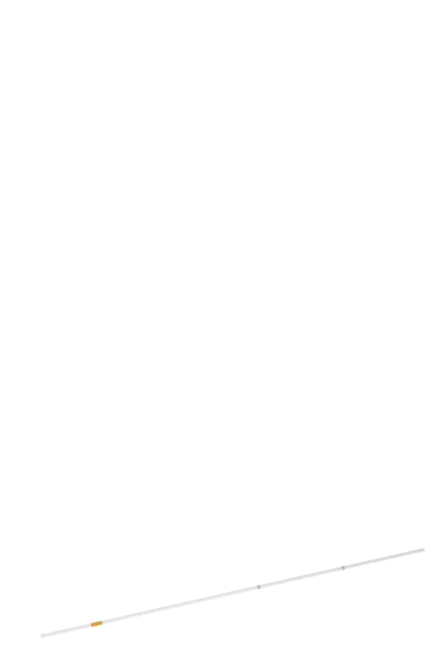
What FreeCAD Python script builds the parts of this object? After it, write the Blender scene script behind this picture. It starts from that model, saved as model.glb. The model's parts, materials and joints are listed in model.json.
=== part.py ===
"""A glass capillary tube with a colour code band and ring marks at 10 and 5 microlitres.

The real object is one piece: a length of drawn borosilicate tubing, cut square, with both ends
melted round, and three rings of ceramic enamel fired onto its outside until they are part of the
glass. So the model is one solid, a profile turned about the tube's axis. Each enamel ring is a low
crown in that profile, so the band and the two marks have faces of their own.

Frame: the tube lies on the plane Z = 0 along X, with its middle over the origin. The held end, near
the colour code band, points to -X, and the tip that dips into the liquid points to +X.
All sizes are in millimetres, and a volume in cubic millimetres is the same number in microlitres.
"""

import FreeCAD
import Part

import math
import os

# The glass
TUBE_LENGTH = 125.0
OUTER_DIAMETER = 1.0
BORE_DIAMETER = 0.473
OUTER_EDGE_RADIUS = 0.08  # at both ends, from the flame
BORE_EDGE_RADIUS = 0.04

# The fired enamel
ENAMEL_HEIGHT = 0.02  # at the middle of each ring; the enamel runs out to nothing at its edges
CODE_BAND_OFFSET = 15.0  # from the held end to the band's near edge
CODE_BAND_WIDTH = 3.0
RING_MARK_WIDTH = 0.2
RING_MARK_VOLUMES = (10.0, 5.0)  # what the bore holds from the tip to the middle of each mark

# Worked out from the sizes above
OUTER_RADIUS = OUTER_DIAMETER / 2
BORE_RADIUS = BORE_DIAMETER / 2
BORE_AREA = math.pi * BORE_RADIUS**2
ENAMEL_RADIUS = OUTER_RADIUS + ENAMEL_HEIGHT
HELD_END = -TUBE_LENGTH / 2
TIP_END = TUBE_LENGTH / 2

ORIGIN = FreeCAD.Vector(0, 0, 0)
TUBE_AXIS = FreeCAD.Vector(1, 0, 0)
FULL_TURN = 360


def point(along, radius):
    """A point of the profile, which lies above the tube's axis in the XZ plane."""
    return FreeCAD.Vector(along, 0, radius)


def straight(start, end):
    return Part.LineSegment(start, end).toShape()


def quarter_round(middle, radius, first_angle):
    """A quarter circle about middle. first_angle is in degrees, counted from +X towards +Z."""
    turns = [math.radians(first_angle + step) for step in (0, 45, 90)]
    on_arc = [middle + point(radius * math.cos(turn), radius * math.sin(turn)) for turn in turns]
    return Part.Arc(*on_arc).toShape()


def enamel_rings():
    """(first edge, last edge) along the tube of each enamel ring, from the held end to the tip."""
    band_start = HELD_END + CODE_BAND_OFFSET
    rings = [(band_start, band_start + CODE_BAND_WIDTH)]
    for volume in RING_MARK_VOLUMES:
        middle = TIP_END - volume / BORE_AREA
        rings.append((middle - RING_MARK_WIDTH / 2, middle + RING_MARK_WIDTH / 2))
    return rings


def enamel_crown(start, end):
    """The outline of one enamel ring, as two halves of an arc that meet at the ring's middle."""
    top = point((start + end) / 2, ENAMEL_RADIUS)
    crown = Part.Arc(point(start, OUTER_RADIUS), top, point(end, OUTER_RADIUS))
    top_at = crown.parameter(top)
    return [crown.toShape(crown.FirstParameter, top_at), crown.toShape(top_at, crown.LastParameter)]


def outside_edges():
    """The outside of the wall from the held end to the tip, with a low crown at each enamel ring."""
    edges = []
    glass_from = HELD_END + OUTER_EDGE_RADIUS
    for start, end in enamel_rings():
        edges.append(straight(point(glass_from, OUTER_RADIUS), point(start, OUTER_RADIUS)))
        edges += enamel_crown(start, end)
        glass_from = end
    edges.append(straight(point(glass_from, OUTER_RADIUS), point(TIP_END - OUTER_EDGE_RADIUS, OUTER_RADIUS)))
    return edges


def tip_edges():
    """The melted end of the wall at the tip: the outer round, the flat ring and the bore's round."""
    flat_outside = OUTER_RADIUS - OUTER_EDGE_RADIUS
    flat_inside = BORE_RADIUS + BORE_EDGE_RADIUS
    return [
        quarter_round(point(TIP_END - OUTER_EDGE_RADIUS, flat_outside), OUTER_EDGE_RADIUS, 0),
        straight(point(TIP_END, flat_outside), point(TIP_END, flat_inside)),
        quarter_round(point(TIP_END - BORE_EDGE_RADIUS, flat_inside), BORE_EDGE_RADIUS, 270),
    ]


def bore_edge():
    start = point(HELD_END + BORE_EDGE_RADIUS, BORE_RADIUS)
    end = point(TIP_END - BORE_EDGE_RADIUS, BORE_RADIUS)
    return straight(start, end)


def wall_section():
    """The section of the wall above the axis, as a face. The held end mirrors the tip."""
    held_edges = [edge.mirror(ORIGIN, TUBE_AXIS) for edge in tip_edges()]
    edges = outside_edges() + tip_edges() + [bore_edge()] + held_edges
    return Part.Face(Part.Wire(Part.__sortEdges__(edges)))


def capillary_tube():
    """The wall turned about the axis, then lifted until the enamel touches the plane Z = 0."""
    tube = wall_section().revolve(ORIGIN, TUBE_AXIS, FULL_TURN)
    tube.translate(FreeCAD.Vector(0, 0, ENAMEL_RADIUS))
    return tube


def main():
    os.makedirs("parts", exist_ok=True)
    tube = capillary_tube()
    tube.exportStep("parts/capillary_tube.step")
    print("capillary_tube:", tube.ShapeType, "valid", tube.isValid(), "volume", round(tube.Volume, 3), "mm3")


main()
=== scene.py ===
"""A glass capillary tube with a colour code band and two ring marks, lying on a white table.

The tube is one piece of drawn glass with a bore from end to end. Its enamel rings are fired on, and are
modelled as thin sleeves let into the glass, so that each finish has a clean edge. Shapes are modelled in
millimetres and turned about the X axis, then scaled to metres and lifted onto the tube's own axis.
"""

import json
import math

import bmesh
import bpy
from mathutils import Matrix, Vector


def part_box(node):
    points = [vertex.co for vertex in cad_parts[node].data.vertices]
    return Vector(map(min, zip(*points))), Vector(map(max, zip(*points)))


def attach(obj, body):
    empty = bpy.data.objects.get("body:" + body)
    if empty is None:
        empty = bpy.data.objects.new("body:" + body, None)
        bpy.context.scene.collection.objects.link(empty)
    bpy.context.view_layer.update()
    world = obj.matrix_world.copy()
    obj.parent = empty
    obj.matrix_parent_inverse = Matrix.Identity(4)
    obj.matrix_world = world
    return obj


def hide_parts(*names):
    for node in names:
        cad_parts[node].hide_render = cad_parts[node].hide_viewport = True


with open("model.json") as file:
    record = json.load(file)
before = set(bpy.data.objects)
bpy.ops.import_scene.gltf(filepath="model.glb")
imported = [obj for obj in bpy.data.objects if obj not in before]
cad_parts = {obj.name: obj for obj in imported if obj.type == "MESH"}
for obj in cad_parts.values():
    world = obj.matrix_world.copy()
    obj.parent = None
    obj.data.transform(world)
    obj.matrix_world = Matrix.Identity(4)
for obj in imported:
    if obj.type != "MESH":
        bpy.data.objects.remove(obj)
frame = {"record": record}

# Sizes that come with the frame, in millimetres
MM = 0.001
TUBE = "capillary_tube"
BOX_LOW, BOX_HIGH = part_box(TUBE)
MOUNTS = {mount["name"]: mount for mount in frame["record"]["mounts"]}
BORE = MOUNTS["bore"]
HELD = MOUNTS["held_end"]
TUBE_LENGTH = (BOX_HIGH.x - BOX_LOW.x) / MM
OUTER_RADIUS = HELD["dims"]["r_mm"]
BORE_RADIUS = BORE["dims"]["r_mm"]
BORE_EDGE_RADIUS = (TUBE_LENGTH - BORE["dims"]["length_mm"]) / 2
AXIS_HEIGHT = BORE["pos_m"][2] / MM
HELD_GLASS_MIDDLE = HELD["pos_m"][0] / MM
HELD_GLASS_START = HELD_GLASS_MIDDLE - HELD["dims"]["length_mm"] / 2
OUTER_EDGE_RADIUS = HELD_GLASS_START + TUBE_LENGTH / 2

# The fired enamel
ENAMEL_RADIUS = AXIS_HEIGHT  # the tube lies on its enamel
ENAMEL_DEPTH = 0.01  # how deep a sleeve is let into the glass
ENAMEL_ROOT_RADIUS = OUTER_RADIUS - ENAMEL_DEPTH
CODE_BAND_START = HELD_GLASS_MIDDLE + HELD["dims"]["length_mm"] / 2
CODE_BAND_WIDTH = 3.0
RING_MARK_WIDTH = 0.2
RING_MARK_VOLUMES = (10.0, 5.0)  # microlitres held from the tip to the middle of each mark

# How finely the shapes are divided
TURN_STEPS = 96
EDGE_SEGMENTS = 6
LENGTH_CUTS = 48
CROWN_STEPS = 10
MERGE_DISTANCE = 0.0005
SAME_RADIUS = 0.001
END_FACE_NORMAL = 0.5  # a face whose normal lies this far along X belongs to a melted end

GLASS_IOR = 1.473

# The studio: brightness that matt surfaces see, and the camera's soft pixel edge
EVEN_LIGHT = 1.14
TABLE_RADIUS = 30  # metres, so that its edge lies on the horizon
PIXEL_FILTER_WIDTH = 1.9

# The camera, in metres, degrees and, for the lens, millimetres
CAMERA_PLACE = (-0.54053, -0.63991, 0.23442)
CAMERA_HEADING = 39.879  # from +Y towards +X
CAMERA_DIP = 11.371  # below level
CAMERA_LENS = 185.96


class Socket:
    """One output of a shader node. Arithmetic on it adds Math nodes to its tree."""

    def __init__(self, tree, output):
        self.tree = tree
        self.output = output

    def math(self, operation, first, second):
        return self.tree.add("ShaderNodeMath", {"operation": operation}, {0: first, 1: second})

    def __add__(self, other):
        return self.math("ADD", self, other)

    def __radd__(self, other):
        return self.math("ADD", other, self)

    def __sub__(self, other):
        return self.math("SUBTRACT", self, other)

    def __rsub__(self, other):
        return self.math("SUBTRACT", other, self)

    def __mul__(self, other):
        return self.math("MULTIPLY", self, other)

    def __rmul__(self, other):
        return self.math("MULTIPLY", other, self)

    def __truediv__(self, other):
        return self.math("DIVIDE", self, other)


class Tree:
    """The shader nodes of a material or of the world, and the one method that adds to them."""

    def __init__(self, owner):
        owner.use_nodes = True
        self.nodes = owner.node_tree.nodes
        self.links = owner.node_tree.links
        self.nodes.clear()

    def add(self, kind, settings, inputs, output=0):
        """Adds a node, sets it up, fills its sockets with values or links, and returns one output."""
        node = self.nodes.new(kind)
        for name, value in settings.items():
            if name == "stops":
                self.set_stops(node.color_ramp, value)
            else:
                setattr(node, name, value)
        for name, value in inputs.items():
            if isinstance(value, Socket):
                self.links.new(value.output, node.inputs[name])
            else:
                node.inputs[name].default_value = value
        return Socket(self, node.outputs[output]) if node.outputs else None

    def set_stops(self, ramp, stops):
        while len(ramp.elements) < len(stops):
            ramp.elements.new(1.0)
        for element, (position, colour) in zip(ramp.elements, stops):
            element.position = position
            element.color = colour

    def place(self):
        """Where a point is on the piece, in metres."""
        return self.add("ShaderNodeTexCoord", {}, {}, "Object")

    def noise(self, place, scale, detail, stretch=(1, 1, 1)):
        """Noise from 0 to 1 whose pattern can be squeezed along each axis by its own factor."""
        vector = self.add("ShaderNodeMapping", {}, {"Vector": place, "Scale": stretch})
        inputs = {"Vector": vector, "Scale": scale, "Detail": detail}
        return self.add("ShaderNodeTexNoise", {}, inputs, "Fac")

    def mix(self, amount, first, second):
        """A colour between two colours."""
        settings = {"data_type": "RGBA"}
        return self.add("ShaderNodeMix", settings, {"Factor": amount, "A": first, "B": second}, "Result")


def material(name):
    made = bpy.data.materials.new(name)
    return made, Tree(made)


def finish_surface(tree, shader):
    tree.add("ShaderNodeOutputMaterial", {}, {"Surface": shader})


def rgb(red, green, blue):
    return (red, green, blue, 1.0)


# Finishes


def clear_glass():
    """Drawn borosilicate glass: nearly colourless, with faint lines along it from the drawing, and painted
    shade that darkens it towards the tip.
    """
    made, tree = material("clear_glass")
    place = tree.place()
    draw_lines = tree.noise(place, 7000, 3, (0.004, 1, 1))
    # Painted shade: the glass's colour deepens along the tube towards the tip, standing in for shade on
    # that half; this noise wobbles where the painted shade begins.
    painted_shade_wobble = tree.noise(place, 90, 2)
    along = tree.add("ShaderNodeSeparateXYZ", {}, {"Vector": place}, "X")
    painted_shade_towards_tip = tree.add("ShaderNodeValToRGB", {"stops": [
        (0.5, rgb(0, 0, 0)),
        (1.0, rgb(1, 1, 1)),
    ]}, {"Fac": along / (TUBE_LENGTH * MM) + 0.45 + 0.1 * painted_shade_wobble})
    # Painted shade: from the glass's pale grey at the held end to a darker painted-shade grey towards the
    # tip.
    colour = tree.mix(painted_shade_towards_tip, rgb(0.888, 0.886, 0.894), rgb(0.81, 0.809, 0.816))
    relief = tree.add("ShaderNodeBump", {}, {"Strength": 0.2, "Distance": 0.002 * MM, "Height": draw_lines})
    shader = tree.add("ShaderNodeBsdfPrincipled", {}, {
        "Base Color": colour,
        "Roughness": 0.01 + 0.03 * draw_lines,
        "IOR": GLASS_IOR,
        "Transmission Weight": 1.0,
        "Normal": relief,
    })
    finish_surface(tree, shader)
    return made


def melted_rim():
    """The cut ends: milky where the flame has melted them round, like frosted glass."""
    made, tree = material("melted_rim")
    frost = tree.noise(tree.place(), 9000, 4)
    colour = tree.mix(frost, rgb(0.74, 0.745, 0.76), rgb(0.86, 0.86, 0.87))
    relief = tree.add("ShaderNodeBump", {}, {"Strength": 0.3, "Distance": 0.004 * MM, "Height": frost})
    shader = tree.add("ShaderNodeBsdfPrincipled", {}, {
        "Base Color": colour,
        "Roughness": 0.25 + 0.2 * frost,
        "IOR": GLASS_IOR,
        "Transmission Weight": 0.3,
        "Normal": relief,
    })
    finish_surface(tree, shader)
    return made


def amber_enamel():
    """The code band's enamel: translucent, and more yellow towards the tip."""
    made, tree = material("amber_enamel")
    place = tree.place()
    along = tree.add("ShaderNodeSeparateXYZ", {}, {"Vector": place}, "X")
    across_band = (along / MM - CODE_BAND_START) / CODE_BAND_WIDTH
    patches = tree.noise(place, 2500, 3, (0.6, 1, 1))
    grain = tree.noise(place, 16000, 2)
    body = tree.mix(patches, rgb(0.49, 0.26, 0.004), rgb(0.62, 0.35, 0.006))
    towards_tip = tree.add("ShaderNodeValToRGB", {"stops": [
        (0.35, rgb(0, 0, 0)),
        (0.9, rgb(1, 1, 1)),
    ]}, {"Fac": across_band + 0.3 * patches - 0.15})
    colour = tree.mix(towards_tip, body, rgb(0.45, 0.38, 0.012))
    height = grain + patches
    relief = tree.add("ShaderNodeBump", {}, {"Strength": 0.35, "Distance": 0.004 * MM, "Height": height})
    shader = tree.add("ShaderNodeBsdfPrincipled", {}, {
        "Base Color": colour,
        "Roughness": 0.42 + 0.16 * grain,
        "Specular IOR Level": 0.3,
        "Subsurface Weight": 0.6,
        "Subsurface Radius": (0.1 * MM, 0.06 * MM, 0.02 * MM),
        "Subsurface Scale": 1.0,
        "Coat Weight": 0.1,
        "Coat Roughness": 0.2,
        "Normal": relief,
    })
    finish_surface(tree, shader)
    return made


def dark_enamel():
    """The ring marks' enamel, greyer where it is thin."""
    made, tree = material("dark_enamel")
    place = tree.place()
    patches = tree.noise(place, 3500, 3)
    grain = tree.noise(place, 16000, 2)
    colour = tree.mix(patches, rgb(0.03, 0.03, 0.03), rgb(0.08, 0.078, 0.075))
    height = grain + patches
    relief = tree.add("ShaderNodeBump", {}, {"Strength": 0.4, "Distance": 0.004 * MM, "Height": height})
    shader = tree.add("ShaderNodeBsdfPrincipled", {}, {
        "Base Color": colour,
        "Roughness": 0.42 + 0.16 * grain,
        "Specular IOR Level": 0.3,
        "Coat Weight": 0.1,
        "Coat Roughness": 0.2,
        "Normal": relief,
    })
    finish_surface(tree, shader)
    return made


def table_white():
    made, tree = material("table_white")
    shader = tree.add("ShaderNodeBsdfDiffuse", {}, {"Color": rgb(0.9, 0.9, 0.9)})
    finish_surface(tree, shader)
    return made


# Shapes


def section_point(shape, along, radius):
    """A vertex of a wall section, which lies above the X axis."""
    return shape.verts.new((along, 0.0, radius))


def close_section(shape, vertices):
    for first, second in zip(vertices, vertices[1:] + vertices[:1]):
        shape.edges.new((first, second))


def turn(shape):
    """Turns the wall section about the X axis into a closed round shell."""
    bmesh.ops.spin(
        shape,
        geom=shape.verts[:] + shape.edges[:],
        cent=(0, 0, 0),
        axis=(1, 0, 0),
        angle=math.tau,
        steps=TURN_STEPS,
        use_merge=True,
    )


def piece(name, shape, finishes):
    """A finished object from a shape in millimetres about the X axis. The second finish is its ends'."""
    bmesh.ops.remove_doubles(shape, verts=shape.verts, dist=MERGE_DISTANCE)
    bmesh.ops.recalc_face_normals(shape, faces=shape.faces)
    shape.transform(Matrix.Translation((0, 0, AXIS_HEIGHT * MM)) @ Matrix.Scale(MM, 4))
    for face in shape.faces:
        face.smooth = True
        if len(finishes) > 1 and abs(face.normal.x) > END_FACE_NORMAL:
            face.material_index = 1
    mesh = bpy.data.meshes.new(name)
    shape.to_mesh(mesh)
    shape.free()
    for finish in finishes:
        mesh.materials.append(finish)
    made = bpy.data.objects.new(name, mesh)
    bpy.context.scene.collection.objects.link(made)
    # The table is lit as if the piece weren't there, so no shadow falls on it.
    made.visible_shadow = False
    made.visible_diffuse = False
    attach(made, "root")
    return made


def round_corners(shape, radius_at, size):
    """Rounds the section's corners at one radius from the axis."""
    corners = [vertex for vertex in shape.verts if abs(vertex.co.z - radius_at) < SAME_RADIUS]
    bmesh.ops.bevel(
        shape,
        geom=corners,
        affect="VERTICES",
        offset=size,
        segments=EDGE_SEGMENTS,
        profile=0.5,
        material=-1,
    )


def cut_across(shape, along):
    """Cuts the section across at one place along the tube."""
    geometry = shape.verts[:] + shape.edges[:]
    bmesh.ops.bisect_plane(shape, geom=geometry, plane_co=(along, 0, 0), plane_no=(1, 0, 0))


def glass_tube(finishes):
    """The wall's section with its four corners melted round, turned about the axis."""
    shape = bmesh.new()
    half = TUBE_LENGTH / 2
    close_section(shape, [
        section_point(shape, -half, OUTER_RADIUS),
        section_point(shape, half, OUTER_RADIUS),
        section_point(shape, half, BORE_RADIUS),
        section_point(shape, -half, BORE_RADIUS),
    ])
    round_corners(shape, OUTER_RADIUS, OUTER_EDGE_RADIUS)
    round_corners(shape, BORE_RADIUS, BORE_EDGE_RADIUS)
    straight = half - 2 * OUTER_EDGE_RADIUS
    for cut in range(LENGTH_CUTS + 1):
        cut_across(shape, straight * (2 * cut / LENGTH_CUTS - 1))
    turn(shape)
    return piece("glass_tube", shape, finishes)


def enamel_ring(name, start, width, finish):
    """A sleeve of enamel with a low crown, let into the outside of the glass."""
    shape = bmesh.new()
    crown = []
    for step in range(CROWN_STEPS + 1):
        across = step / CROWN_STEPS
        rise = (ENAMEL_RADIUS - OUTER_RADIUS) * 4 * across * (1 - across)
        crown.append(section_point(shape, start + width * across, OUTER_RADIUS + rise))
    root = [
        section_point(shape, start + width, ENAMEL_ROOT_RADIUS),
        section_point(shape, start, ENAMEL_ROOT_RADIUS),
    ]
    close_section(shape, crown + root)
    turn(shape)
    piece(name, shape, [finish])


def ring_mark_start(volume):
    """Where a mark begins, so that the bore holds its volume from the tip to the mark's middle."""
    bore_area = math.pi * BORE_RADIUS**2
    return TUBE_LENGTH / 2 - volume / bore_area - RING_MARK_WIDTH / 2


# The set


def table():
    shape = bmesh.new()
    bmesh.ops.create_circle(shape, cap_ends=True, segments=64, radius=TABLE_RADIUS)
    mesh = bpy.data.meshes.new("table")
    shape.to_mesh(mesh)
    shape.free()
    mesh.materials.append(table_white())
    made = bpy.data.objects.new("table", mesh)
    bpy.context.scene.collection.objects.link(made)


def surroundings():
    """A white studio. Matt surfaces are lit evenly, and the glass shows it grey near the horizon."""
    world = bpy.data.worlds.new("Studio")
    tree = Tree(world)
    direction = tree.add("ShaderNodeTexCoord", {}, {}, "Generated")
    height = tree.add("ShaderNodeSeparateXYZ", {}, {"Vector": direction}, "Z")
    grey = tree.add("ShaderNodeValToRGB", {"stops": [
        (0.0, rgb(0.52, 0.52, 0.53)),
        (0.25, rgb(0.59, 0.59, 0.6)),
        (0.5, rgb(0.83, 0.83, 0.84)),
        (0.75, rgb(1.3, 1.3, 1.3)),
        (1.0, rgb(2.2, 2.2, 2.2)),
    ]}, {"Fac": height})
    on_matt_surfaces = tree.add("ShaderNodeLightPath", {}, {}, "Is Diffuse Ray")
    light = tree.mix(on_matt_surfaces, grey, rgb(EVEN_LIGHT, EVEN_LIGHT, EVEN_LIGHT))
    seen_directly = tree.add("ShaderNodeLightPath", {}, {}, "Is Camera Ray")
    colour = tree.mix(seen_directly, light, rgb(1, 1, 1))
    background = tree.add("ShaderNodeBackground", {}, {"Color": colour, "Strength": 1.0})
    tree.add("ShaderNodeOutputWorld", {}, {"Surface": background})
    world.cycles.sampling_method = "NONE"
    bpy.context.scene.world = world


def camera():
    lens = bpy.data.cameras.new("Camera")
    lens.lens = CAMERA_LENS
    made = bpy.data.objects.new("Camera", lens)
    made.location = CAMERA_PLACE
    made.rotation_euler = (math.radians(90 - CAMERA_DIP), 0, math.radians(-CAMERA_HEADING))
    bpy.context.scene.collection.objects.link(made)
    bpy.context.scene.camera = made


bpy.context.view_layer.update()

tube = glass_tube([clear_glass(), melted_rim()])
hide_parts(TUBE)
enamel_ring("code_band", CODE_BAND_START, CODE_BAND_WIDTH, amber_enamel())
mark_finish = dark_enamel()
for volume in RING_MARK_VOLUMES:
    mark_name = f"ring_mark_{volume:.0f}"
    enamel_ring(mark_name, ring_mark_start(volume), RING_MARK_WIDTH, mark_finish)

table()
surroundings()
camera()
bpy.context.scene.cycles.filter_width = PIXEL_FILTER_WIDTH
bpy.context.scene.view_settings.view_transform = "Standard"
